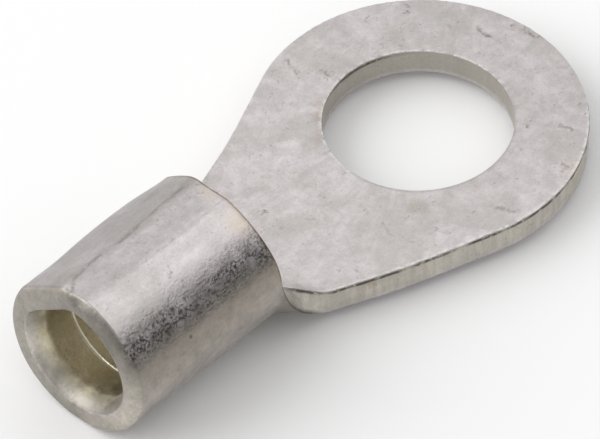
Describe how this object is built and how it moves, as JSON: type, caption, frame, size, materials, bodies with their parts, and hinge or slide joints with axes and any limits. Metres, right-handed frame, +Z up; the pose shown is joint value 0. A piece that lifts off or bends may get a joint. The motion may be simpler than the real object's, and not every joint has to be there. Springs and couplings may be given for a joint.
{
  "type": "ring terminal",
  "caption": "Uninsulated ring terminal: a flat ring tongue with a stud hole that rolls up into a short round crimp barrel with a brazed seam.",
  "frame": {"origin": "centre of the stud hole on the underside of the flat tongue", "axes": "+Z up along the stud hole, -X along the barrel and out of its mouth, +Y across"},
  "size_m": [0.0219, 0.0114, 0.0057],
  "materials": {
    "tin_plate": "satin, dull electro-tinned copper with fine scuffs"
  },
  "bodies": {
    "root": {"ring_terminal": "tin_plate"}
  },
  "joints": []
}
